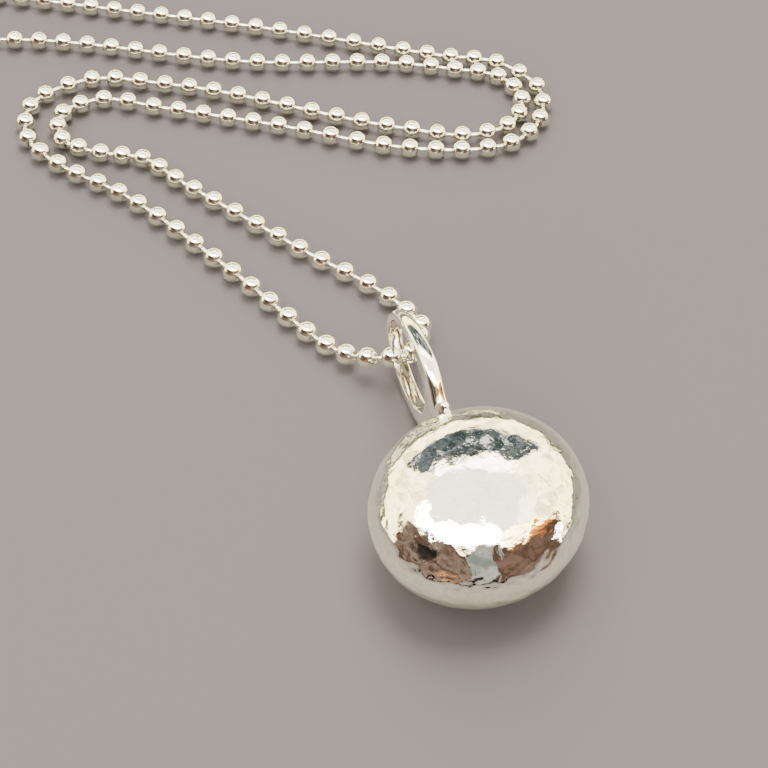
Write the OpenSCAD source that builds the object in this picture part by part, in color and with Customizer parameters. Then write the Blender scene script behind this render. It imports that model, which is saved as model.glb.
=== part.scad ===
// Pebble pendant necklace: a hammered silver pebble on an upright oval bail, threaded on a fine ball chain.
// It lies on a flat surface. Units are millimetres, +Z is up, and the origin is the middle of the small flat
// under the pebble. +Y runs from the pebble to its bail.

/* [Pebble] */
// Width of the pebble, across its long side
pebble_w = 15.8; // [10:0.2:30]
// Length of the pebble
pebble_l = 17.6; // [10:0.2:32]
// Thickness of the pebble
pebble_t = 10; // [5:0.2:16]
// How far the pebble's length is turned from the bail's line, clockwise from above
pebble_turn = 46; // [0:1:90]
// Width of the worn flat that the pebble rests on
rest_flat_d = 4; // [2:0.5:8]

/* [Bail] */
// Length of the oval bail, from its foot inside the pebble to its tip
bail_l = 13; // [8:0.5:20]
// Height of the oval bail at its middle
bail_h = 7.8; // [5:0.2:9]
// Width of the bail's strip
bail_w = 1.2; // [0.8:0.1:2.4]
// How far the strip's outer face bulges at mid width, as a share of the bail's half length
bail_bulge = 0.03; // [0.01:0.005:0.06]
// Length of the bail's eye
eye_l = 9.2; // [6:0.2:14]
// Height of the bail's eye
eye_h = 5.9; // [4:0.1:7]
// How far the eye sits from the bail's middle, toward the tip
eye_shift = 1.15; // [0:0.05:2]
// Distance from the pebble's middle to the bail's middle
bail_reach = 14.35; // [12:0.05:20]
// Slope of the bail, down toward its tip
bail_slope = 6; // [0:1:15]
// Length, along the bail's line, of the solder that joins the bail to the pebble
solder_l = 1.6; // [1:0.1:3]
// Width of the solder
solder_w = 2; // [1.4:0.1:3]
// Height of the solder up the pebble's edge
solder_h = 4.2; // [2:0.2:6]

/* [Chain] */
// Diameter of each ball
bead_d = 1.8; // [1.2:0.1:3]
// Diameter of the hole through each ball
bore_d = 0.62; // [0.5:0.02:1]
// Diameter of the link wire between the balls
wire_d = 0.4; // [0.3:0.02:0.6]

/* [Clasp] */
// Length of the barrel clasp
clasp_l = 7; // [5:0.5:12]
// Diameter of the barrel clasp
clasp_d = 2.2; // [1.8:0.1:4]
// Depth of the blind hole in each end of the clasp
clasp_hole_depth = 2.4; // [1:0.1:3]
// Radius of the clasp's rounded ends
clasp_round = 0.6; // [0.2:0.1:0.9]

/* [Hidden] */
$fn = 64;
silver = [0.86, 0.85, 0.81];
bright_silver = [0.92, 0.91, 0.88];
dark_silver = [0.70, 0.69, 0.66];

bead_r = bead_d / 2;
bore_r = bore_d / 2;
wire_r = wire_d / 2;
wire_sides = 6;
clear = 0.1; // gap between the wire's ends and the bottom of the clasp's holes
bail_lift = 0.05; // gap under the middle of the bail, before it slopes
bulge_sides = 360; // fine enough for the short arc across the bail's strip

// The route of the chain, one row where it bends: [x, y, lift off the surface, balls to the next row].
// It starts at the clasp and goes round the loop. The last row's count is the clasp's own share.
far_loop_out = [
    [-75, 101.5, 0.2, 4], [-66, 104.5, 0, 5], [-54.5, 102.5, 0, 5],
    [-45, 95.5, 0, 5], [-37, 86.5, 0, 5], [-27.5, 79.5, 0, 5],
];
upper_run_out = [
    [-17, 74, 0, 8], [0, 65.5, 0, 8], [17, 56, 0, 2],
];
right_turn_outer = [
    [21, 54, 0, 2], [23.5, 49.5, 0, 2], [22.1, 44.9, 0, 2], [18.25, 42.25, 0, 2], [13.5, 42.5, 0, 2],
];
lower_run_out = [
    [9, 44, 0, 5], [-1.75, 50.25, 0, 5], [-12.25, 56, 0, 2],
];
left_turn_inner = [
    [-16.5, 58.25, 0, 2], [-20.5, 57.25, 0, 2], [-21.25, 53.5, 0, 2], [-18.25, 50.75, 0, 2], [-14.75, 49, 0, 2],
];
drop_to_bail = [
    [-12.5, 45.5, 0, 6], [-4.25, 33.75, 0, 5],
];
through_the_eye = [
    [2.3, 24, 0.1, 1], [2.85, 21.85, 0.4, 1], [2.1, 20, 1.1, 1], [0.8, 18, 1.6, 1],
    [-1.1, 17.6, 1.95, 1], [-2.75, 18.75, 1.2, 1], [-4, 20.4, 0.3, 1],
];
rise_from_bail = [
    [-5.2, 22.1, 0, 5], [-10.5, 32.5, 0, 6], [-17.75, 45, 0, 3],
];
left_turn_outer = [
    [-22.25, 50.25, 0, 2], [-24.25, 54.5, 0, 2], [-23.25, 59, 0, 3], [-17, 61.5, 0, 3],
];
lower_run_back = [
    [-10.5, 59, 0, 10], [10, 46.5, 0, 2],
];
right_turn_inner = [
    [14.25, 44.5, 0, 2], [18.75, 44.75, 0, 2], [21.4, 48, 0, 2], [20.4, 51.85, 0, 2], [16.75, 54, 0, 2],
];
upper_run_back = [
    [12.5, 56, 0, 6], [-1.25, 60, 0, 10],
];
far_loop_back = [
    [-23, 69.5, 0, 5], [-34.5, 72, 0, 5], [-46.5, 72.5, 0, 5], [-58, 71, 0, 5],
    [-69.5, 73.5, 0, 5], [-78, 81.5, 0, 5], [-79.5, 93, 0.2, 4],
];
route = concat(
    far_loop_out, upper_run_out, right_turn_outer, lower_run_out, left_turn_inner, drop_to_bail,
    through_the_eye, rise_from_bail, left_turn_outer, lower_run_back, right_turn_inner,
    upper_run_back, far_loop_back
);
rows = len(route);

function unit(v) = v / norm(v);
function wrap(i, n) = (i + n) % n;

// Middle of the ball on row i, and how the route moves per ball there
function row_point(i) = [route[i][0], route[i][1], bead_r + route[i][2]];
function row_step(i) =
    let (
        before = route[wrap(i - 1, rows)][3],
        after = route[i][3],
        arriving = (row_point(i) - row_point(wrap(i - 1, rows))) / before,
        leaving = (row_point(wrap(i + 1, rows)) - row_point(i)) / after
    )
    (arriving * after + leaving * before) / (before + after);

// Smooth curve from row i to the next: t runs from 0 to 1
function curve(i, t) =
    let (
        j = wrap(i + 1, rows),
        n = route[i][3],
        p = (2 * t^3 - 3 * t^2 + 1) * row_point(i) + (t^3 - 2 * t^2 + t) * n * row_step(i)
            + (3 * t^2 - 2 * t^3) * row_point(j) + (t^3 - t^2) * n * row_step(j)
    )
    [p.x, p.y, max(p.z, bead_r)];

// The balls' middles, and the way that each one's hole points
balls = [
    for (i = [0:rows - 2]) for (k = [0:route[i][3] - 1]) curve(i, k / route[i][3]),
    row_point(rows - 1),
];
ball_count = len(balls);
ways = [
    for (k = [0:ball_count - 1])
        unit(
            unit(balls[wrap(k + 1, ball_count)] - balls[k])
            + unit(balls[k] - balls[wrap(k - 1, ball_count)])
        )
];
clasp_way = unit(balls[0] - balls[ball_count - 1]);
clasp_middle = (balls[0] + balls[ball_count - 1]) / 2;

module along(point, way) {
    translate(point)
        rotate([0, acos(way.z), atan2(way.y, way.x)])
            children();
}

// A pebble cut flat underneath, so that it rests
rest_rise = pebble_t / 2 * sqrt(1 - (rest_flat_d / pebble_w)^2);

module pebble() {
    intersection() {
        translate([0, 0, rest_rise])
            rotate([0, 0, -pebble_turn])
                scale([pebble_w / 2, pebble_l / 2, pebble_t / 2])
                    sphere(r = 1);
        translate([-pebble_w, -pebble_l, 0])
            cube([2 * pebble_w, 2 * pebble_l, 2 * pebble_t]);
    }
}

// An oval ring with a bulging outer face, thin at the tip and solid at the foot
bail_rise = bail_h / 2 + bail_lift;
bulge_r = (bail_w^2 / 4 + bail_bulge^2) / (2 * bail_bulge);

module bulging_disc() {
    rotate([0, 90, 0])
        rotate_extrude()
            intersection() {
                translate([0, -bail_w / 2])
                    square([1, bail_w]);
                translate([1 - bulge_r, 0])
                    circle(r = bulge_r, $fn = bulge_sides);
            }
}

module bail() {
    translate([0, bail_reach, bail_rise])
        rotate([-bail_slope, 0, 0])
            difference() {
                scale([1, bail_l / 2, bail_h / 2])
                    bulging_disc();
                translate([0, eye_shift, 0])
                    scale([1, eye_l / 2, eye_h / 2])
                        rotate([0, 90, 0])
                            cylinder(r = 1, h = 2 * bail_w, center = true);
            }
}

module solder() {
    foot_y = bail_reach - bail_l / 2 * cos(bail_slope);
    foot_z = bail_rise + bail_l / 2 * sin(bail_slope);
    translate([0, foot_y + solder_l / 2, foot_z])
        scale([solder_w / 2, solder_l / 2, solder_h / 2])
            sphere(r = 1);
}

module pendant() {
    color(silver)
        union() {
            pebble();
            bail();
            solder();
        }
}

module ball() {
    rotate_extrude()
        difference() {
            circle(r = bead_r);
            translate([bore_r - 2 * bead_d, -bead_d])
                square([2 * bead_d, 2 * bead_d]);
        }
}

module beads() {
    color(bright_silver)
        for (k = [0:ball_count - 1])
            along(balls[k], ways[k])
                ball();
}

// The wire runs straight through each ball and bends only between them
function wire_ring(point, way) =
    let (
        side = unit(cross(way, [0, 0, 1])),
        up = cross(side, way)
    )
    [for (s = [0:wire_sides - 1])
        point + wire_r * (cos(360 * s / wire_sides) * side + sin(360 * s / wire_sides) * up)];

wire_start = clasp_middle + clasp_way * (clasp_l / 2 - clasp_hole_depth + clear);
wire_mouth = clasp_middle + clasp_way * (clasp_l / 2 + clear);
wire_back_mouth = clasp_middle - clasp_way * (clasp_l / 2 + clear);
wire_end = clasp_middle - clasp_way * (clasp_l / 2 - clasp_hole_depth + clear);
wire_points = concat(
    wire_ring(wire_start, clasp_way),
    wire_ring(wire_mouth, clasp_way),
    [for (k = [0:ball_count - 1]) for (end = [-1, 1])
        each wire_ring(balls[k] + end * bead_r * ways[k], ways[k])],
    wire_ring(wire_back_mouth, clasp_way),
    wire_ring(wire_end, clasp_way)
);
wire_rings = 2 * ball_count + 4;
wire_faces = concat(
    [[for (s = [wire_sides - 1:-1:0]) s]],
    [for (r = [0:wire_rings - 2]) for (s = [0:wire_sides - 1])
        let (
            a = r * wire_sides + s,
            b = r * wire_sides + (s + 1) % wire_sides
        )
        each [[a, b + wire_sides, a + wire_sides], [a, b, b + wire_sides]]],
    [[for (s = [0:wire_sides - 1]) (wire_rings - 1) * wire_sides + s]]
);

module link_wire() {
    color(dark_silver)
        polyhedron(points = wire_points, faces = wire_faces);
}

// A plain barrel with a blind hole in each end for the chain's two wire ends
module clasp_half_outline() {
    difference() {
        union() {
            square([clasp_d / 2, clasp_l / 2 - clasp_round]);
            square([clasp_d / 2 - clasp_round, clasp_l / 2]);
            translate([clasp_d / 2 - clasp_round, clasp_l / 2 - clasp_round])
                circle(r = clasp_round);
        }
        translate([-clasp_d, clasp_l / 2 - clasp_hole_depth])
            square([clasp_d + bore_r, clasp_l]);
        translate([-2 * clasp_d, -clasp_l])
            square([2 * clasp_d, 2 * clasp_l]);
    }
}

module clasp() {
    color(silver)
        along(clasp_middle, clasp_way)
            rotate_extrude()
                union() {
                    clasp_half_outline();
                    mirror([0, 1]) clasp_half_outline();
                }
}

pendant();
beads();
link_wire();
clasp();
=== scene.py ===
# %% [markdown]
# # Pebble pendant necklace
# A silver pebble, planished all over with a small domed hammer, hangs from an upright oval bail on a fine
# ball chain. The necklace lies folded on a table, as it would for a shop picture.
#
# The lesson goes the way of a jeweller's bench: the sizes, the metal and its finish, the pebble, its bail
# and the solder between them, then the chain's route, balls, links and clasp, and last the table, the light
# and the camera. A construction model of the same necklace is loaded first, as a fixed frame. It gives the
# body that every piece rides on. Everything is in metres, +Z is up, and the pebble rests on z = 0.

# %% Load the frame
import math
import random

import bmesh
import bpy
from mathutils import Matrix, Vector, noise


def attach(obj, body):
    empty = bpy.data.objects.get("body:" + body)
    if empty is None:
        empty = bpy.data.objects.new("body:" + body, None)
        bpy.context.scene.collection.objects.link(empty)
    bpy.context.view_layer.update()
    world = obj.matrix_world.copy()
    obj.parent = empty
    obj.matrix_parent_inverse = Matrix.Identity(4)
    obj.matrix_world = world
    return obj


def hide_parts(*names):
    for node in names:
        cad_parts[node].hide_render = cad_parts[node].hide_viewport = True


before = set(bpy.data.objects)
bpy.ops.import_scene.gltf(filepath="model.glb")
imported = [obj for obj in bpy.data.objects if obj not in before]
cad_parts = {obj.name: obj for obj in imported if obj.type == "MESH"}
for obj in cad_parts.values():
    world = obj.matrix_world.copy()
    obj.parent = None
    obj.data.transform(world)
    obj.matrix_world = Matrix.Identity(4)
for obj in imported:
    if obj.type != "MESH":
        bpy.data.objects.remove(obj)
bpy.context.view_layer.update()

MM = 0.001
print("nodes:", sorted(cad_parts))

# %% [markdown]
# ## Sizes
# The pebble is a flattened egg with a small worn flat under it. The bail is an oval ring, thin at its tip
# and thick at its foot, and the chain is a stock ball chain. Each number could stand where its shape is
# built, but a maker writes them on one drawing first, so that a change in one place reaches all that
# depends on it. These are the construction model's own sizes, in millimetres.

# %% Sizes
PEBBLE = Vector((15.8, 17.6, 10)) / 2
PEBBLE_TURN = math.radians(46)     # of its length from the bail's line, clockwise from above
FLAT_D = 4
REST_RISE = PEBBLE.z * math.sqrt(1 - (FLAT_D / (2 * PEBBLE.x)) ** 2)

BAIL_OUT = Vector((6.5, 3.9))      # half length and half height of the ring
BAIL_EYE = Vector((4.6, 2.95))     # the same for its eye
EYE_SHIFT = 1.15                   # the eye sits this far toward the tip
BAIL_W = 1.2
BAIL_AT = Vector((0, 14.35, 3.95))
BAIL_SLOPE = math.radians(6)

BALL_R = 0.9
HOLE_R = 0.25
ROD_R = 0.22
print("pebble's middle above the table, mm:", round(REST_RISE, 2))

# %% [markdown]
# ## From a shape to a finished piece
# Every part of the necklace is one smooth metal form. It could be modelled in metres straight away, but
# jewellery is easier to think of in millimetres. So each shape is a bmesh in millimetres until this helper
# shrinks it, turns its faces outwards, smooths them and gives it its metal. The object itself stays at the
# origin, unturned, so that it fits the construction model with no further placing.

# %% Finished pieces
def finish_piece(name, bm, material):
    """Turns a bmesh in millimetres into a smooth, finished piece that rides on the body."""
    bmesh.ops.scale(bm, vec=(MM, MM, MM), verts=bm.verts)
    bmesh.ops.recalc_face_normals(bm, faces=bm.faces)
    for face in bm.faces:
        face.smooth = True
    mesh = bpy.data.meshes.new(name)
    bm.to_mesh(mesh)
    bm.free()
    mesh.materials.append(material)
    piece = bpy.data.objects.new(name, mesh)
    bpy.context.scene.collection.objects.link(piece)
    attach(piece, "root")
    print(f"{name}: {sum(len(p.vertices) - 2 for p in mesh.polygons)} triangles")
    return piece


# %% [markdown]
# ## Words for the metal
# Polished silver is a mirror with a faint warm cast. What makes it look real is what breaks the mirror:
# hairline scratches, a little uneven polish, and a trace of tarnish. A picture of a worn surface could
# carry all that, but it would have to be unwrapped onto each shape, and it blurs close up. Noise that reads
# the object's own coordinates needs no unwrapping, is sharp at any distance, and stays put when the view
# turns. This cell gives each kind of node that the metals need a short word.

# %% Metal nodes
SCRATCHES_PER_M = (900, 9000, 5200)
SCRATCH_TURN = (0.5, 0.3, 0.7)


class Metal:
    """A metal in the making: its material, and short words for the nodes of its finish."""

    def __init__(self, name):
        self.material = bpy.data.materials.new(name)
        self.material.use_nodes = True
        self.nodes = self.material.node_tree.nodes
        self.links = self.material.node_tree.links
        self.shader = self.nodes["Principled BSDF"]
        self.shader.inputs["Metallic"].default_value = 1
        self.place = self.nodes.new("ShaderNodeTexCoord").outputs["Object"]

    def noise(self, size_mm, detail, rough=0.5):
        """Soft clouds of about size_mm."""
        tex = self.nodes.new("ShaderNodeTexNoise")
        tex.inputs["Scale"].default_value = 1 / (size_mm * MM)
        tex.inputs["Detail"].default_value = detail
        tex.inputs["Roughness"].default_value = rough
        self.links.new(self.place, tex.inputs["Vector"])
        return tex.outputs["Fac"]

    def cells(self, size_mm, output, smooth=0.0):
        """Small cells: how far a spot is from its cell's middle, or the cell's own colour."""
        tex = self.nodes.new("ShaderNodeTexVoronoi")
        if smooth:
            tex.feature = "SMOOTH_F1"
            tex.inputs["Smoothness"].default_value = smooth
        tex.inputs["Scale"].default_value = 1 / (size_mm * MM)
        self.links.new(self.place, tex.inputs["Vector"])
        return tex.outputs[output]

    def scratches(self):
        """Hairlines: noise that is stretched far along one direction."""
        stretch = self.nodes.new("ShaderNodeMapping")
        stretch.inputs["Scale"].default_value = SCRATCHES_PER_M
        stretch.inputs["Rotation"].default_value = SCRATCH_TURN
        self.links.new(self.place, stretch.inputs["Vector"])
        tex = self.nodes.new("ShaderNodeTexNoise")
        tex.inputs["Scale"].default_value = 1
        tex.inputs["Detail"].default_value = 3
        self.links.new(stretch.outputs["Vector"], tex.inputs["Vector"])
        return tex.outputs["Fac"]

    def spread(self, value, low, high, start=0.3, end=0.7):
        """Spreads the stretch of value from start to end over low to high."""
        remap = self.nodes.new("ShaderNodeMapRange")
        remap.inputs["From Min"].default_value = start
        remap.inputs["From Max"].default_value = end
        remap.inputs["To Min"].default_value = low
        remap.inputs["To Max"].default_value = high
        self.links.new(value, remap.inputs["Value"])
        return remap.outputs["Result"]

    def product(self, first, second):
        times = self.nodes.new("ShaderNodeMath")
        times.operation = "MULTIPLY"
        self.links.new(first, times.inputs[0])
        self.links.new(second, times.inputs[1])
        return times.outputs["Value"]

    def stained(self, tone, stain, amount):
        """Lays a stain over a tone, which is a colour or another node's output."""
        mix = self.nodes.new("ShaderNodeMix")
        mix.data_type = "RGBA"
        self.links.new(amount, mix.inputs["Factor"])
        if isinstance(tone, tuple):
            mix.inputs["A"].default_value = (*tone, 1)
        else:
            self.links.new(tone, mix.inputs["A"])
        mix.inputs["B"].default_value = (*stain, 1)
        return mix.outputs["Result"]

    def carve(self, layers, strength=None):
        """Lays bump maps over one another, each a pair of a height and its depth in millimetres."""
        last = None
        for height, depth_mm in layers:
            if depth_mm == 0:
                continue
            bump = self.nodes.new("ShaderNodeBump")
            bump.inputs["Strength"].default_value = 1
            bump.inputs["Distance"].default_value = depth_mm * MM
            self.links.new(height, bump.inputs["Height"])
            if strength:
                self.links.new(strength, bump.inputs["Strength"])
            if last:
                self.links.new(last, bump.inputs["Normal"])
            last = bump.outputs["Normal"]
        self.links.new(last, self.shader.inputs["Normal"])


print("words for the metal:", [word for word in vars(Metal) if not word.startswith("_")])

# %% [markdown]
# ## The silvers
# The parts are one metal with five finishes: the pebble is hammered, the bail is filed and buffed, the
# balls are tumbled, the links come from the drawing plate, and the clasp is turned. Five materials could be
# set up one by one, but then they drift apart. One recipe keeps them the same silver, and each finish only
# changes its colour, polish and waves. Hammered silver gets small facets with sharp ridges and a few dirty
# pits as well, which fade toward the smooth crown.

# %% Silvers
CLOUD_MM = 2.6                     # how wide the patterns are: clouds and specks of tarnish first
SPECK_MM = 0.45
POLISH_MM = 1.1
GRAIN_MM = 0.12
FACET_MM = 1.25
RIPPLE_MM = 0.6
PIT_MM = 1.7
DIRT_MM = 0.5
SCRATCH_DEEP = 0.0006              # how deep the bump maps are, in millimetres too
FACET_DEEP = 0.05
RIPPLE_DEEP = 0.030
PIT_DEEP = 0.012
RIM_Z, CROWN_Z = 5 * MM, 8.8 * MM  # the marks are full up to the rim and weaker on the crown
CROWN_SHARE = 0.6
PIT_DIRT = (0.45, 0.40, 0.33)


def hammer_marks(metal, tone):
    """The tone with dirt in the pits, the marks' bump maps, and how strong all bumps are toward the rim."""
    height_up = metal.nodes.new("ShaderNodeSeparateXYZ")
    metal.links.new(metal.place, height_up.inputs["Vector"])
    toward_rim = metal.spread(height_up.outputs["Z"], 1, CROWN_SHARE, RIM_Z, CROWN_Z)
    facet = metal.cells(FACET_MM, "Distance", 0.35)
    few = metal.spread(metal.cells(PIT_MM, "Color"), 0, 1, 0.6, 0.62)
    pit = metal.spread(metal.cells(PIT_MM, "Distance"), 1, 0, 0.04, 0.2)
    pits = metal.product(pit, few)
    dirt = metal.product(pits, metal.spread(metal.noise(DIRT_MM, 4), 0, 0.5))
    tone = metal.stained(tone, PIT_DIRT, dirt)
    marks = [(metal.product(facet, facet), FACET_DEEP), (metal.noise(RIPPLE_MM, 3, 0.6), RIPPLE_DEEP),
             (pits, -PIT_DEEP)]
    return tone, marks, toward_rim


def silver(name, color, tarnish, roughness, wave=(0, 1), grain=0.0, hammered=False):
    """A silver whose surface waves by wave = (depth, width) in millimetres."""
    metal = Metal(name)
    clouds = metal.spread(metal.noise(CLOUD_MM, 4), 0, 0.5)
    specks = metal.spread(metal.noise(SPECK_MM, 3), 0, 0.6, 0.4, 0.65)
    tone = metal.stained(color, tarnish, clouds)
    tone = metal.stained(tone, [0.88 * c for c in tarnish], specks)
    polish = metal.spread(metal.noise(POLISH_MM, 5), roughness * 0.6, roughness * 1.6)
    layers = [(metal.noise(wave[1], 2), wave[0]), (metal.noise(GRAIN_MM, 3), grain),
              (metal.scratches(), SCRATCH_DEEP)]
    toward_rim = None
    if hammered:
        tone, marks, toward_rim = hammer_marks(metal, tone)
        layers += marks
    metal.links.new(tone, metal.shader.inputs["Base Color"])
    metal.links.new(polish, metal.shader.inputs["Roughness"])
    metal.carve(layers, toward_rim)
    print(f"{name}: {len(metal.nodes)} nodes")
    return metal.material


PEBBLE_SILVER = silver("hammered_silver", (0.95, 0.915, 0.82), (0.88, 0.83, 0.70), 0.04, (0.014, 0.9),
                       0.0008, hammered=True)
BAIL_SILVER = silver("bail_silver", (0.94, 0.91, 0.83), (0.88, 0.84, 0.74), 0.07, (0.002, 1.4), 0.0003)
BALL_SILVER = silver("bead_silver", (0.88, 0.85, 0.75), (0.78, 0.73, 0.60), 0.05, (0.002, 0.8), 0.0005)
ROD_SILVER = silver("link_silver", (0.94, 0.92, 0.86), (0.86, 0.82, 0.73), 0.10, (0, 1), 0.0006)
CLASP_SILVER = silver("clasp_silver", (0.93, 0.91, 0.84), (0.85, 0.81, 0.71), 0.08, (0.002, 1), 0.0005)

# %% [markdown]
# ## Hammer blows
# The real pebble is cast or forged smooth and then planished: a small domed hammer goes round it and leaves
# shallow, overlapping dents. A hand spreads its blows evenly but never in rows. Random spots would clump,
# and a plain grid would show, so the blows start on a golden spiral, which covers a ball evenly, and each
# is nudged a little. Where two bowls meet, a ridge is left: the nearest blow counts for nearly everything.

# %% Hammer blows
BLOW_REACH = 0.06                  # farther blows don't count; all three are in 1 - cos of the angle
BLOW_EDGE = 0.016                  # here a bowl has risen to nothing
RIDGE_SHARP = 720                  # how fast one blow gives way to the next


def hammer_blows(count, seed):
    """Evenly spread, slightly nudged landing points on a unit ball, each with how hard the blow fell."""
    rng = random.Random(seed)
    golden_turn = math.pi * (3 - math.sqrt(5))
    blows = []
    for i in range(count):
        z = 1 - 2 * (i + 0.5) / count
        ring = math.sqrt(1 - z * z)
        point = Vector((ring * math.cos(golden_turn * i), ring * math.sin(golden_turn * i), z))
        nudge = Vector([rng.uniform(-1, 1) for _ in range(3)]) * 0.9 / math.sqrt(count)
        blows.append(((point + nudge).normalized(), rng.uniform(0.25, 1)))
    return blows


def dent_depth(direction, blows):
    """Soft bowls round the hammer's landing points: 0 at their ridges and 1 in the middle of a deep one."""
    total = 0
    weighted = 0
    for landing, strength in blows:
        gap = 1 - landing.dot(direction)
        if gap < BLOW_REACH:
            weight = math.exp(-gap * RIDGE_SHARP)
            total += weight
            weighted += weight * strength * max(0, 1 - gap / BLOW_EDGE)
    return weighted / total if total else 0


BLOWS = hammer_blows(260, 4)
print(len(BLOWS), "blows; depth under the first:", round(dent_depth(BLOWS[0][0], BLOWS), 2))

# %% [markdown]
# ## The pebble
# The blows land hardest round the rim, and the crown is nearly smooth. The dents could be a bump in the
# material alone, but then the outline would stay a perfect egg, and sculpting them by hand can't be
# repeated. So each point of a fine ball is moved out to the egg and then pressed in by its dent, with some
# broad unevenness. The lowest points stop at the table, which leaves the small worn flat.

# %% Pebble
CROWN_DENT = 0.010                 # depths in millimetres
RIM_DENT = 0.06
UNEVEN = 0.03
WARP = 0.05                        # how far the ridges stray, as a share of the ball's radius
WARP_SEED = 4                      # unseeded, they would stray another way in each run


def make_pebble():
    bm = bmesh.new()
    bmesh.ops.create_icosphere(bm, subdivisions=7, radius=1)
    turn = Matrix.Rotation(-PEBBLE_TURN, 3, "Z")
    noise.seed_set(WARP_SEED)
    for vert in bm.verts:
        direction = vert.co.normalized()
        rim = 1 - abs(direction.z) ** 1.5
        warp = noise.noise_vector(direction * 6) * WARP
        dent = dent_depth((direction + warp).normalized(), BLOWS)
        depth = (CROWN_DENT + RIM_DENT * rim) * dent
        depth += UNEVEN * rim * (noise.noise(direction * 4) + noise.noise(direction * 13))
        point = Vector([direction[i] * PEBBLE[i] for i in range(3)])
        normal = Vector([direction[i] / PEBBLE[i] for i in range(3)]).normalized()
        vert.co = turn @ (point - normal * depth) + Vector((0, 0, REST_RISE))
        vert.co.z = max(vert.co.z, 0)
    return finish_piece("hammered_pebble", bm, PEBBLE_SILVER)


pebble = make_pebble()

# %% [markdown]
# ## The bail
# A strip of silver is bent into an oval, its ends are closed in the foot, and its outside is filed to a low
# dome. A torus that is squeezed to an oval would come out equally thick all round, but this ring is thin at
# its tip and solid at its foot. So the strip's section, a small rectangle with rounded corners, is spun
# once round, and then each point is set in from the oval's outer wall or its inner one. A low shoulder
# stands on the outer wall, where the strip bends down to the pebble.

# %% Bail
SPIN_R = 2.0                       # the walls are set afterwards, so any radius does for the spin
HALF_T = 0.3                       # half the section's thickness, measured from its own middle
CORNER = 0.17
DOME = 0.27                        # the outer face is this much lower at its edges than in the middle
PROUD = 0.09                       # and its middle stands this far out of the oval
SHOULDER = 0.26                    # how far the shoulder stands out, and the hollow below it goes in
SHOULDER_AT, HOLLOW_AT = 115, 147  # degrees round the oval from its tip


def bail_section():
    """The outline of the strip's section, its long sides finely divided so that they can be domed."""
    bm = bmesh.new()
    bmesh.ops.create_grid(bm, x_segments=1, y_segments=1, size=0.5)
    for vert in bm.verts:
        vert.co = Vector((vert.co.x * BAIL_W, SPIN_R + vert.co.y * 2 * HALF_T, 0))
    bmesh.ops.bevel(bm, geom=bm.verts[:], offset=CORNER, segments=4, profile=0.5, affect="VERTICES",
                    material=-1)
    bmesh.ops.delete(bm, geom=bm.faces[:], context="FACES_ONLY")
    long_edges = [e for e in bm.edges if e.calc_length() > BAIL_W / 2]
    bmesh.ops.subdivide_edges(bm, edges=long_edges, cuts=10)
    return bm


def bail_wall(angle, half, shift):
    return Vector((shift + half.x * math.cos(angle), half.y * math.sin(angle)))


def shoulder(angle):
    """How far the outer wall stands out where the strip bends down to its foot."""
    turn = math.degrees(angle)
    rise = math.exp(-((turn - SHOULDER_AT) / 14) ** 2)
    fall = math.exp(-((turn - HOLLOW_AT) / 13) ** 2)
    return SHOULDER * rise - SHOULDER * fall


def make_bail():
    bm = bail_section()
    bmesh.ops.spin(bm, geom=bm.verts[:] + bm.edges[:], cent=(0, 0, 0), axis=(1, 0, 0), dvec=(0, 0, 0),
                   angle=2 * math.pi, steps=200, use_merge=True, use_duplicate=False)
    for vert in bm.verts:
        angle = math.atan2(vert.co.z, vert.co.y)
        height = math.hypot(vert.co.y, vert.co.z) - SPIN_R
        outer, inner = bail_wall(angle, BAIL_OUT, 0), bail_wall(angle, BAIL_EYE, EYE_SHIFT)
        across = (outer - inner).normalized()
        if height > 0:
            lower = DOME * (2 * vert.co.x / BAIL_W) ** 2
            flat = outer - across * (HALF_T - height + lower - PROUD - shoulder(angle))
        else:
            flat = inner + across * (height + HALF_T)
        wave = 0.010 * noise.noise(Vector((vert.co.x, flat.x, flat.y)) * 0.7)
        flat -= across * (wave if height > 0 else -wave)
        vert.co = Vector((vert.co.x, flat.x, flat.y))
    bmesh.ops.rotate(bm, cent=(0, 0, 0), matrix=Matrix.Rotation(-BAIL_SLOPE, 3, "X"), verts=bm.verts)
    bmesh.ops.translate(bm, vec=BAIL_AT, verts=bm.verts)
    return finish_piece("bail", bm, BAIL_SILVER)


bail = make_bail()

# %% [markdown]
# ## The solder joint
# Silver solder flows into the corner between the ring and the pebble and sets there as a small, uneven
# lump. A Boolean union with a rounded seam could make that corner, but it leaves ragged faces, which a
# mirror shows at once. A little ball, stretched, made uneven by noise and sunk into both, looks the same
# and keeps clean faces. The ring, the pebble and the solder are one piece of metal in the construction
# model, so all three stand for its pendant.

# %% Solder
SOLDER = Vector((0.8, 1.1, 2.4))   # half sizes, in millimetres
SOLDER_LEAD = 0.5                  # how far its middle sits from the foot's end toward the tip


def make_solder():
    foot_y = BAIL_AT.y - BAIL_OUT.x * math.cos(BAIL_SLOPE)
    foot_z = BAIL_AT.z + BAIL_OUT.x * math.sin(BAIL_SLOPE)
    bm = bmesh.new()
    bmesh.ops.create_icosphere(bm, subdivisions=5, radius=1)
    for vert in bm.verts:
        lump = 1 + 0.07 * noise.noise(vert.co * 1.7)
        vert.co = Vector([vert.co[i] * SOLDER[i] for i in range(3)]) * lump
    bmesh.ops.translate(bm, vec=(0, foot_y + SOLDER_LEAD, foot_z), verts=bm.verts)
    return finish_piece("solder_joint", bm, BAIL_SILVER)


solder = make_solder()
for piece in (pebble, bail, solder):
    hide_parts("pendant")
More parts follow.
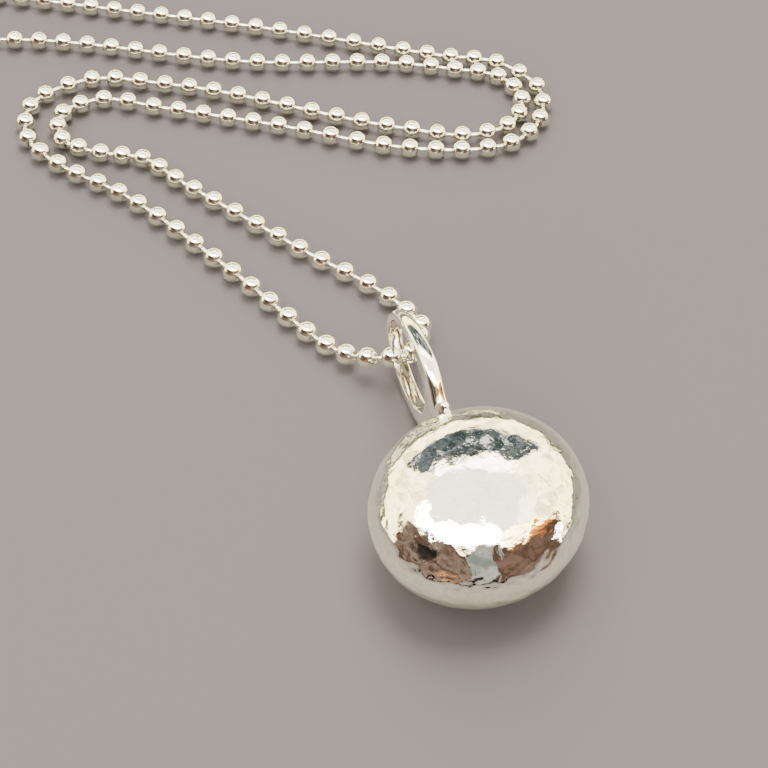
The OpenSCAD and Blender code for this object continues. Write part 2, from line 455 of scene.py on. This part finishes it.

# %% [markdown]
# ## The route of the chain
# The chain is one closed loop of 190 balls. It folds twice, passes through the bail's eye, and goes round a
# wide loop beyond the picture's edge. It could be dropped on the table in a physics run, but it would fold
# somewhere else after each change. So its folds are laid, as they are for a display, through a few listed
# rows: x, y and lift in millimetres, and how many balls there are to the next row. The rows are the
# construction model's. Between two of them the chain follows a Hermite curve, which leaves each row in the
# direction in which it came.

# %% Route
ROUTE = [
    (-75, 101.5, 0.2, 4), (-66, 104.5, 0, 5), (-54.5, 102.5, 0, 5),
    (-45, 95.5, 0, 5), (-37, 86.5, 0, 5), (-27.5, 79.5, 0, 5),
    (-17, 74, 0, 8), (0, 65.5, 0, 8), (17, 56, 0, 2),
    (21, 54, 0, 2), (23.5, 49.5, 0, 2), (22.1, 44.9, 0, 2), (18.25, 42.25, 0, 2), (13.5, 42.5, 0, 2),
    (9, 44, 0, 5), (-1.75, 50.25, 0, 5), (-12.25, 56, 0, 2), (-16.5, 58.25, 0, 2),
    (-20.5, 57.25, 0, 2), (-21.25, 53.5, 0, 2), (-18.25, 50.75, 0, 2), (-14.75, 49, 0, 2),
    (-12.5, 45.5, 0, 6), (-4.25, 33.75, 0, 5),
    (2.3, 24, 0.1, 1), (2.85, 21.85, 0.4, 1), (2.1, 20, 1.1, 1), (0.8, 18, 1.6, 1),
    (-1.1, 17.6, 1.95, 1), (-2.75, 18.75, 1.2, 1), (-4, 20.4, 0.3, 1),
    (-5.2, 22.1, 0, 5), (-10.5, 32.5, 0, 6), (-17.75, 45, 0, 3),
    (-22.25, 50.25, 0, 2), (-24.25, 54.5, 0, 2), (-23.25, 59, 0, 3), (-17, 61.5, 0, 3),
    (-10.5, 59, 0, 10), (10, 46.5, 0, 2), (14.25, 44.5, 0, 2), (18.75, 44.75, 0, 2),
    (21.4, 48, 0, 2), (20.4, 51.85, 0, 2), (16.75, 54, 0, 2),
    (12.5, 56, 0, 6), (-1.25, 60, 0, 10),
    (-23, 69.5, 0, 5), (-34.5, 72, 0, 5), (-46.5, 72.5, 0, 5), (-58, 71, 0, 5),
    (-69.5, 73.5, 0, 5), (-78, 81.5, 0, 5), (-79.5, 93, 0.2, 4),
]


def row_point(i):
    x, y, lift, _ = ROUTE[i % len(ROUTE)]
    return Vector((x, y, BALL_R + lift))


def row_step(i):
    """The step from ball to ball in row i, between the steps of the stretches before and after it."""
    before, after = ROUTE[i - 1][3], ROUTE[i % len(ROUTE)][3]
    arriving = (row_point(i) - row_point(i - 1)) / before
    leaving = (row_point(i + 1) - row_point(i)) / after
    return (arriving * after + leaving * before) / (before + after)


def route_point(i, t):
    """The spot at the share t of the way from row i to the next."""
    n = ROUTE[i][3]
    p = ((2 * t**3 - 3 * t**2 + 1) * row_point(i) + (t**3 - 2 * t**2 + t) * n * row_step(i)
         + (3 * t**2 - 2 * t**3) * row_point(i + 1) + (t**3 - t**2) * n * row_step((i + 1) % len(ROUTE)))
    p.z = max(p.z, BALL_R)
    return p


# %% [markdown]
# ### Balls along the route
# Each ball needs a place and a way to face. Its way could be the curve's own slope, but a real ball turns
# with its two links. So its way is the middle between the directions to its neighbours. The last stretch
# is left free for the clasp.

# %% Places of the balls
last_row = len(ROUTE) - 1
balls = [route_point(i, k / ROUTE[i][3]) for i in range(last_row) for k in range(ROUTE[i][3])]
balls.append(row_point(last_row))
steps = [(balls[(k + 1) % len(balls)] - balls[k]).normalized() for k in range(len(balls))]
ways = [(steps[k] + steps[k - 1]).normalized() for k in range(len(balls))]
loop_length = sum((balls[k] - balls[k - 1]).length for k in range(len(balls)))
print(len(balls), "balls; loop length, mm:", round(loop_length, 1))

# %% [markdown]
# ## The balls
# Each ball is a hollow shell, rolled from strip, with the edge of its hole turned in. Blender could scatter
# instances along a curve, but the finished necklace has to be plain mesh. So one ball is made from a globe
# with its poles cut off and its open edges drawn inward for the lips, and it's copied along the chain into
# a single mesh. Each copy faces along the route and is spun by its own angle, so that no two mirror the
# light alike. Its inside never shows, so the holes are closed a little way in.

# %% Balls
POLE = 0.94                        # above this share of its radius the globe is drawn in to the hole
LIP_DEEP = 0.08
LIP_NARROW = 0.92


def make_ball_mesh():
    bm = bmesh.new()
    bmesh.ops.create_uvsphere(bm, u_segments=16, v_segments=10, radius=BALL_R)
    poles = [v for v in bm.verts if abs(v.co.z) > BALL_R * 0.999]
    bmesh.ops.delete(bm, geom=poles, context="VERTS")
    reach = math.sqrt(BALL_R**2 - HOLE_R**2)
    for vert in bm.verts:
        if abs(vert.co.z) > BALL_R * POLE:
            side = Vector((vert.co.x, vert.co.y, 0)).normalized() * HOLE_R
            vert.co = side + Vector((0, 0, math.copysign(reach, vert.co.z)))
    rim = [e for e in bm.edges if e.is_boundary]
    lip = bmesh.ops.extrude_edge_only(bm, edges=rim)["geom"]
    for vert in (g for g in lip if isinstance(g, bmesh.types.BMVert)):
        vert.co.x *= LIP_NARROW
        vert.co.y *= LIP_NARROW
        vert.co.z -= math.copysign(LIP_DEEP, vert.co.z)
    bmesh.ops.holes_fill(bm, edges=[e for e in bm.edges if e.is_boundary])
    mesh = bpy.data.meshes.new("one_ball")
    bm.to_mesh(mesh)
    bm.free()
    return mesh


def copies(one, places):
    """One bmesh with a copy of the mesh at each place."""
    bm = bmesh.new()
    for place in places:
        start = len(bm.verts)
        bm.from_mesh(one)
        bm.verts.ensure_lookup_table()
        bmesh.ops.transform(bm, matrix=place, verts=bm.verts[start:])
    return bm


def make_beads():
    rng = random.Random(11)
    places = [Matrix.Translation(centre) @ way.to_track_quat("Z", "Y").to_matrix().to_4x4()
              @ Matrix.Rotation(rng.uniform(0, 6), 4, "Z") for centre, way in zip(balls, ways)]
    return finish_piece("ball_chain", copies(make_ball_mesh(), places), BALL_SILVER)


beads = make_beads()
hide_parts("beads")

# %% [markdown]
# ## The links
# A short rod joins each pair of balls, with a tiny head inside each ball to hold it. Only the stretch
# between the holes shows, so the heads are left out. One long wire through all the balls could stand for
# the rods, as it does in the construction model, but a real rod is straight, and slightly waisted where it
# was drawn. So one rod of unit length is made, and each copy is turned and stretched to its own gap.

# %% Links
WAIST = 0.08                       # how much thinner a rod is in its middle
ROD_START = BALL_R * 0.86          # how far from a ball's middle its rod begins
CLASP_GRIP = 1.3                   # and from the clasp's middle


def make_rod_mesh():
    """A rod of unit length along Z, standing on the origin."""
    bm = bmesh.new()
    bmesh.ops.create_cone(bm, cap_ends=True, segments=12, radius1=ROD_R, radius2=ROD_R, depth=1)
    sides = [e for e in bm.edges if abs(e.verts[0].co.z - e.verts[1].co.z) > 0.5]
    bmesh.ops.subdivide_edges(bm, edges=sides, cuts=3)
    for vert in bm.verts:
        waist = 1 - WAIST * (1 - (2 * vert.co.z) ** 2)
        vert.co.x *= waist
        vert.co.y *= waist
        vert.co.z += 0.5
    mesh = bpy.data.meshes.new("one_rod")
    bm.to_mesh(mesh)
    bm.free()
    return mesh


def rod_place(start, end):
    span = end - start
    stretch = Matrix.Diagonal((1, 1, span.length, 1))
    return Matrix.Translation(start) @ span.to_track_quat("Z", "Y").to_matrix().to_4x4() @ stretch


def make_links():
    places = [rod_place(balls[k] + ways[k] * ROD_START, balls[k + 1] - ways[k + 1] * ROD_START)
              for k in range(len(balls) - 1)]
    clasp_way = (balls[0] - balls[-1]).normalized()
    middle = (balls[0] + balls[-1]) / 2
    places.append(rod_place(balls[-1] + ways[-1] * ROD_START, middle - clasp_way * CLASP_GRIP))
    places.append(rod_place(middle + clasp_way * CLASP_GRIP, balls[0] - ways[0] * ROD_START))
    return finish_piece("chain_links", copies(make_rod_mesh(), places), ROD_SILVER)


links = make_links()
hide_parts("link_wire")

# %% [markdown]
# ## The clasp
# A barrel clasp closes the loop at its far end. Its two halves screw together at a fine seam, and each end
# is drawn in round the chain. Stacked cylinders could stand for it, but they would leave hidden
# walls inside. It is a turned part, so it is made as on a lathe: half its outline is drawn, the other half
# is the same in reverse, and the whole is spun once round.

# %% Clasp
CLASP_HALF_L = 3.5
CLASP_R = 1.1


def make_clasp():
    half_l, radius = CLASP_HALF_L, CLASP_R
    profile = [(0, half_l - 1.4), (0.31, half_l - 1.4), (0.31, half_l - 0.1), (0.38, half_l), (0.62, half_l),
               (0.86, half_l - 0.12), (1.02, half_l - 0.34), (radius, half_l - 0.7), (radius, 1.0),
               (1.06, 0.92), (radius, 0.84), (radius, 0.10), (1.02, 0.03), (1.02, -0.03), (radius, -0.10)]
    profile += [(r, -z) for r, z in reversed(profile[:-3])]
    bm = bmesh.new()
    verts = [bm.verts.new((r, 0, z)) for r, z in profile]
    edges = [bm.edges.new(pair) for pair in zip(verts, verts[1:])]
    bmesh.ops.spin(bm, geom=verts + edges, cent=(0, 0, 0), axis=(0, 0, 1), dvec=(0, 0, 0),
                   angle=2 * math.pi, steps=48, use_merge=True, use_duplicate=False)
    bmesh.ops.remove_doubles(bm, verts=bm.verts, dist=0.001)
    way = (balls[0] - balls[-1]).normalized()
    turn = way.to_track_quat("Z", "Y").to_matrix().to_4x4()
    bmesh.ops.transform(bm, matrix=Matrix.Translation((balls[0] + balls[-1]) / 2) @ turn, verts=bm.verts)
    return finish_piece("barrel_clasp", bm, CLASP_SILVER)


clasp = make_clasp()
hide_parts("clasp")

# %% [markdown]
# ## The table
# The necklace lies on a matte, mauve-grey top. For the eye a plain plane of one colour would do. But the
# silver mirrors the table all along its underside, and there it has to be a little lighter than it looks
# from above, most of all close to the pebble. A bright lamp under the rim would also do that, but it would
# spoil the soft shadow. So the material asks what kind of ray has met it, and answers a mirrored ray with a
# lighter colour of its own. This is painted light, which only the silver shows and which is brightest close
# to the pebble.

# %% Table
TABLE_GREY = (0.102, 0.0895, 0.0875)
# painted light: the table as the silver mirrors it, lighter than TABLE_GREY and lightest near the pebble
MIRRORED_NEAR_PAINTED_LIGHT = (0.170, 0.158, 0.140)
MIRRORED_FAR_PAINTED_LIGHT = (0.118, 0.109, 0.099)
NEAR_END, FAR_START = 0.02, 0.05   # metres from the pebble
TABLE_SIDE = 6


def color_stops(ramp, stops):
    """Sets a new colour ramp's stops from pairs of a position and a colour."""
    for i, (position, color) in enumerate(stops):
        element = ramp.color_ramp.elements[i] if i < 2 else ramp.color_ramp.elements.new(position)
        element.position = position
        element.color = (*color, 1)


def make_plane(name, width, height, material):
    bm = bmesh.new()
    bmesh.ops.create_grid(bm, x_segments=1, y_segments=1, size=0.5)
    bmesh.ops.scale(bm, vec=(width, height, 1), verts=bm.verts)
    mesh = bpy.data.meshes.new(name)
    bm.to_mesh(mesh)
    bm.free()
    mesh.materials.append(material)
    plane = bpy.data.objects.new(name, mesh)
    bpy.context.scene.collection.objects.link(plane)
    return plane


def table_material():
    material = bpy.data.materials.new("table_top")
    material.use_nodes = True
    nodes, links = material.node_tree.nodes, material.node_tree.links
    shader = nodes["Principled BSDF"]
    shader.inputs["Roughness"].default_value = 0.75
    shader.inputs["Specular IOR Level"].default_value = 0
    far = nodes.new("ShaderNodeVectorMath")
    far.operation = "LENGTH"
    links.new(nodes.new("ShaderNodeTexCoord").outputs["Object"], far.inputs[0])
    # painted light for mirrored rays: lightest near the pebble, fading to the far colour between NEAR_END
    # and FAR_START
    mirrored = nodes.new("ShaderNodeValToRGB")
    color_stops(mirrored, [(NEAR_END, MIRRORED_NEAR_PAINTED_LIGHT), (FAR_START, MIRRORED_FAR_PAINTED_LIGHT)])
    links.new(far.outputs["Value"], mirrored.inputs["Fac"])
    mix = nodes.new("ShaderNodeMix")
    mix.data_type = "RGBA"
    links.new(nodes.new("ShaderNodeLightPath").outputs["Is Glossy Ray"], mix.inputs["Factor"])
    mix.inputs["A"].default_value = (*TABLE_GREY, 1)
    links.new(mirrored.outputs["Color"], mix.inputs["B"])
    links.new(mix.outputs["Result"], shader.inputs["Base Color"])
    return material


make_plane("table", TABLE_SIDE, TABLE_SIDE, table_material())
print("table's side, m:", TABLE_SIDE)

# %% [markdown]
# ## Directions of the set
# Lamps, walls and cards are placed as they stand round a camera: so far to the right, so far away, so high.
# They could be given in the necklace's own x and y, but the camera looks past these by 19 degrees, and each
# card would have to be worked out. Three arrows turn the one into the other.

# %% Directions
LOOK = math.radians(19)            # the camera looks this far to the right of +Y
RIGHT = Vector((math.cos(LOOK), -math.sin(LOOK), 0))
AWAY = Vector((math.sin(LOOK), math.cos(LOOK), 0))
UP = Vector((0, 0, 1))


def set_spot(centre):
    """The place of something that stands right, away and up from the pebble, in metres."""
    return RIGHT * centre[0] + AWAY * centre[1] + UP * centre[2]


print("away points to", [round(c, 3) for c in AWAY])

# %% [markdown]
# ## Walls and soft boxes
# A studio has pale walls and a few soft boxes, large dim lamps that light the table evenly and leave soft
# shadows. The two jobs could be left to one bright dome, but what lights the table well makes the silver
# flat. So the world answers a mirrored ray with warm walls over a thin dark line at the horizon, and
# every other ray with an even pale light. The soft boxes shade the table alone: the silver doesn't see them.

# %% Walls and soft boxes
PALE_LIGHT = (1, 0.96, 0.92)
EVEN_LIGHT, EVEN_GLOW = (0.96, 0.90, 0.84), 1.9
WALL_GLOW = 7.8
HORIZON = (0.05, (0.03, 0.026, 0.02))        # stops: a height, as the sine of its angle, and a colour
LOW_WALL = (0.085, (1, 0.87, 0.46))
HIGH_WALL = (0.7, (0.95, 0.85, 0.49))
PATCHES = [(0.38, (0.41, 0.42, 0.40)), (0.56, (1, 1, 1))]


def make_world():
    world = bpy.data.worlds.new("studio")
    bpy.context.scene.world = world
    world.use_nodes = True
    nodes, links = world.node_tree.nodes, world.node_tree.links
    even = nodes["Background"]
    even.inputs["Color"].default_value = (*EVEN_LIGHT, 1)
    even.inputs["Strength"].default_value = EVEN_GLOW
    walls = nodes.new("ShaderNodeBackground")
    walls.inputs["Strength"].default_value = WALL_GLOW
    up = nodes.new("ShaderNodeSeparateXYZ")
    place = nodes.new("ShaderNodeTexCoord").outputs["Generated"]
    links.new(place, up.inputs["Vector"])
    ramp = nodes.new("ShaderNodeValToRGB")
    color_stops(ramp, [HORIZON, LOW_WALL, HIGH_WALL])
    links.new(up.outputs["Z"], ramp.inputs["Fac"])
    patches = nodes.new("ShaderNodeTexNoise")
    patches.inputs["Scale"].default_value = 9
    patches.inputs["Detail"].default_value = 6
    links.new(place, patches.inputs["Vector"])
    tint = nodes.new("ShaderNodeValToRGB")
    color_stops(tint, PATCHES)
    links.new(patches.outputs["Fac"], tint.inputs["Fac"])
    blend = nodes.new("ShaderNodeMix")
    blend.data_type, blend.blend_type = "RGBA", "MULTIPLY"
    blend.inputs["Factor"].default_value = 1
    links.new(ramp.outputs["Color"], blend.inputs["A"])
    links.new(tint.outputs["Color"], blend.inputs["B"])
    links.new(blend.outputs["Result"], walls.inputs["Color"])
    mix = nodes.new("ShaderNodeMixShader")
    links.new(nodes.new("ShaderNodeLightPath").outputs["Is Glossy Ray"], mix.inputs["Fac"])
    links.new(even.outputs["Background"], mix.inputs[1])
    links.new(walls.outputs["Background"], mix.inputs[2])
    links.new(mix.outputs["Shader"], nodes["World Output"].inputs["Surface"])


def soft_box(name, centre, size, power):
    """A square area lamp that looks at the pebble. Power is in watts."""
    light = bpy.data.lights.new(name, "AREA")
    light.size = size
    light.energy = power
    light.color = PALE_LIGHT
    lamp = bpy.data.objects.new(name, light)
    bpy.context.scene.collection.objects.link(lamp)
    lamp.location = set_spot(centre)
    lamp.rotation_mode = "QUATERNION"
    lamp.rotation_quaternion = lamp.location.to_track_quat("Z", "Y")
    lamp.visible_glossy = False
    print(f"{name}: {power} W")


make_world()
soft_box("top_soft_box", (0.04, 0.32, 0.95), 0.50, 20)
soft_box("far_soft_box", (-0.10, 0.75, 0.55), 0.70, 12)
soft_box("near_soft_box", (-0.10, -0.70, 0.35), 0.50, 8)
soft_box("left_soft_box", (-0.50, -0.10, 0.70), 0.50, 4)

# %% [markdown]
# ## Making a card
# Silver has no colour of its own: it shows what stands round it. So jewellery is lit with cards, pale ones
# for broad shine, and a few dark and warm ones that draw edges into the metal. They could all be painted
# into one panorama picture, but a card can be moved by itself until its edge falls where it should. Each is
# a glowing plane that only reflections see. Its colours mix in clouds, as on a wall that isn't quite even,
# and a soft one fades out toward its edge.

# %% Card maker
CLOUD_STOPS = {2: (0.42, 0.58), 3: (0.46, 0.60, 0.655)}     # by how many colours there are
FADE_STEEP = 2.5


def cloudy(tree, colors, per_m):
    """Mixes the colours in clouds, per_m of them to a metre."""
    cloud = tree.nodes.new("ShaderNodeTexNoise")
    cloud.inputs["Scale"].default_value = per_m
    cloud.inputs["Detail"].default_value = 3
    tree.links.new(tree.nodes.new("ShaderNodeTexCoord").outputs["Object"], cloud.inputs["Vector"])
    ramp = tree.nodes.new("ShaderNodeValToRGB")
    color_stops(ramp, zip(CLOUD_STOPS[len(colors)], colors))
    tree.links.new(cloud.outputs["Fac"], ramp.inputs["Fac"])
    return ramp.outputs["Color"]


def soft_edged(tree, shown, size):
    """Lets a card fade out in an oval that touches its edges."""
    span = tree.nodes.new("ShaderNodeMapping")
    span.inputs["Scale"].default_value = (2 / size[0], 2 / size[1], 1)
    tree.links.new(tree.nodes.new("ShaderNodeTexCoord").outputs["Object"], span.inputs["Vector"])
    fade = tree.nodes.new("ShaderNodeTexGradient")
    fade.gradient_type = "SPHERICAL"
    tree.links.new(span.outputs["Vector"], fade.inputs["Vector"])
    steep = tree.nodes.new("ShaderNodeMath")
    steep.operation, steep.use_clamp = "MULTIPLY", True
    steep.inputs[1].default_value = FADE_STEEP
    tree.links.new(fade.outputs["Fac"], steep.inputs[0])
    blend = tree.nodes.new("ShaderNodeMixShader")
    tree.links.new(steep.outputs["Value"], blend.inputs["Fac"])
    tree.links.new(tree.nodes.new("ShaderNodeBsdfTransparent").outputs["BSDF"], blend.inputs[1])
    tree.links.new(shown, blend.inputs[2])
    return blend.outputs["Shader"]


def card_material(name, size, colors, strength, soft, per_m):
    material = bpy.data.materials.new(name)
    material.use_nodes = True
    tree = material.node_tree
    tree.nodes.remove(tree.nodes["Principled BSDF"])
    glow = tree.nodes.new("ShaderNodeEmission")
    glow.inputs["Color"].default_value = (*colors[0], 1)
    glow.inputs["Strength"].default_value = strength
    if len(colors) > 1:
        tree.links.new(cloudy(tree, colors, per_m), glow.inputs["Color"])
    shown = glow.outputs["Emission"]
    if soft:
        shown = soft_edged(tree, shown, size)
    tree.links.new(shown, tree.nodes["Material Output"].inputs["Surface"])
    return material


def card(name, centre, size, colors, strength, stand="flat", tilt=0, soft=False, per_m=9):
    """A glowing card. It lies flat, stands upright across the view, or faces the pebble, and is then tilted
    by so many degrees in its own plane."""
    plane = make_plane(name, *size, card_material(name, size, colors, strength, soft, per_m))
    spot = set_spot(centre)
    x = UP.cross(spot).normalized() if stand == "facing" else RIGHT
    y = {"flat": AWAY, "upright": UP, "facing": spot.normalized().cross(x)}[stand]
    plane.matrix_world = (Matrix.Translation(spot) @ Matrix((x, y, x.cross(y))).transposed().to_4x4()
                          @ Matrix.Rotation(math.radians(tilt), 4, "Z"))
    plane.visible_camera = plane.visible_diffuse = plane.visible_shadow = False
    print(f"{name}: {spot.length:.2f} m away")


# %% [markdown]
# ## The large cards
# A pale ceiling with white strips at its near edge gives the pebble's broad shine. At the far side stands a
# dark strip with a white one over it, which draws the dark arc under the bail. They could be one card with
# painted bands, but then no band could have its own strength, and the white ones are many times brighter.

# %% Large cards
WHITE, BLACK = (1, 1, 1), (0.02, 0.017, 0.014)

card("ceiling_pale", (-0.02, 0.22, 1), (1.25, 0.88), [(0.88, 0.79, 0.71), (1, 0.92, 0.86)], 4.4)
card("ceiling_white", (-0.22, -0.31, 1), (1.05, 0.38), [WHITE], 28)
card("ceiling_white_right", (0.50, -0.42, 1), (0.50, 0.20), [WHITE], 22)
card("side_white_left", (-0.78, 0.05, 1), (0.30, 0.34), [WHITE], 28)
card("side_pale_right", (0.80, 0.12, 1), (0.34, 0.70), [(1, 0.88, 0.62), (0.9, 0.82, 0.62)], 7)
card("far_strip_dark", (-0.10, 1, 0.70), (1.36, 0.62), [(0.014, 0.021, 0.025), (0.11, 0.125, 0.13), WHITE],
     4, "upright", per_m=8)
card("far_strip_white", (-0.10, 1, 1.32), (1.40, 0.50), [(0.5, 0.47, 0.42), (1, 0.98, 0.93)], 14, "upright")
card("far_strip_end", (-0.74, 0.99, 0.92), (0.20, 0.40), [(0.11, 0.14, 0.16), (0.36, 0.42, 0.44)], 1,
     "upright")

# %% [markdown]
# ## The small cards
# Low in front of the pebble stand two brown cards, which give the silver its depth, with a grey one between
# them and a dark line along their foot. Small soft cards lay a warm glow and a few glints over the edge of
# the brown. The orange ones stay dim: a strong orange turns pale in the render, as an overexposed lamp does
# in a photograph.

# %% Small cards
BROWN, PALE_BROWN = (0.145, 0.085, 0.058), (0.41, 0.295, 0.235)
ORANGE, YELLOW = (1, 0.34, 0.04), (1, 0.76, 0.34)

card("brown_left", (-0.175, -0.215, 0.09), (0.60, 0.48), [BROWN, PALE_BROWN], 1, "facing", 8)
card("brown_right", (0.225, -0.155, 0.065), (0.42, 0.40), [BROWN, (0.30, 0.19, 0.15)], 1, "facing", -24)
card("dark_spot", (-0.16, -0.125, 0.142), (0.17, 0.10), [BLACK, (0.06, 0.05, 0.04)], 1, "facing", 42, True)
card("warm_glow", (0.166, -0.045, 0.19), (0.20, 0.06), [YELLOW, (1, 0.88, 0.58)], 13, "facing", -33, True)
card("warm_edge", (0.18, -0.026, 0.145), (0.19, 0.04), [ORANGE, (0.6, 0.2, 0.05)], 2, "facing", -34, True)
card("warm_spot", (-0.03, -0.23, 0.035), (0.15, 0.05), [BLACK, (0.7, 0.26, 0.07)], 2.8, "facing")
card("small_white", (0.245, -0.008, 0.05), (0.06, 0.045), [WHITE], 12, "facing", 0, True)
card("grey_card", (0.046, -0.172, 0.107), (0.096, 0.22), [(0.34, 0.39, 0.36), (0.74, 0.75, 0.68)], 1,
     "facing")
card("dark_foot", (-0.014, -0.20, 0.010), (0.9, 0.020), [BLACK], 1, "facing")

# %% [markdown]
# ## Camera
# The view is the photograph's: from the lower left, about 47 degrees down, with a slight roll. A camera can
# be aimed by a constraint that tracks the pebble, but such a constraint has no roll. So the camera gets its
# place, its direction and its roll as numbers, and a long lens, which keeps the pebble from bulging.

# %% Camera
CAMERA_AT = Vector((-33.07, -73.72, 105.25)) * MM
CAMERA_DOWN = math.radians(47.5)
CAMERA_ROLL = math.radians(2.42)
LENS, SENSOR = 82.6, 36            # millimetres


def make_camera():
    data = bpy.data.cameras.new("camera")
    data.sensor_width = SENSOR
    data.lens = LENS
    data.clip_start, data.clip_end = 0.005, 20
    camera = bpy.data.objects.new("camera", data)
    bpy.context.scene.collection.objects.link(camera)
    bpy.context.scene.camera = camera
    forward = AWAY * math.cos(CAMERA_DOWN) - UP * math.sin(CAMERA_DOWN)
    camera.matrix_world = (Matrix.Translation(CAMERA_AT)
                           @ forward.to_track_quat("-Z", "Y").to_matrix().to_4x4()
                           @ Matrix.Rotation(CAMERA_ROLL, 4, "Z"))
    print("camera to pebble, mm:", round(CAMERA_AT.length / MM, 1))


make_camera()
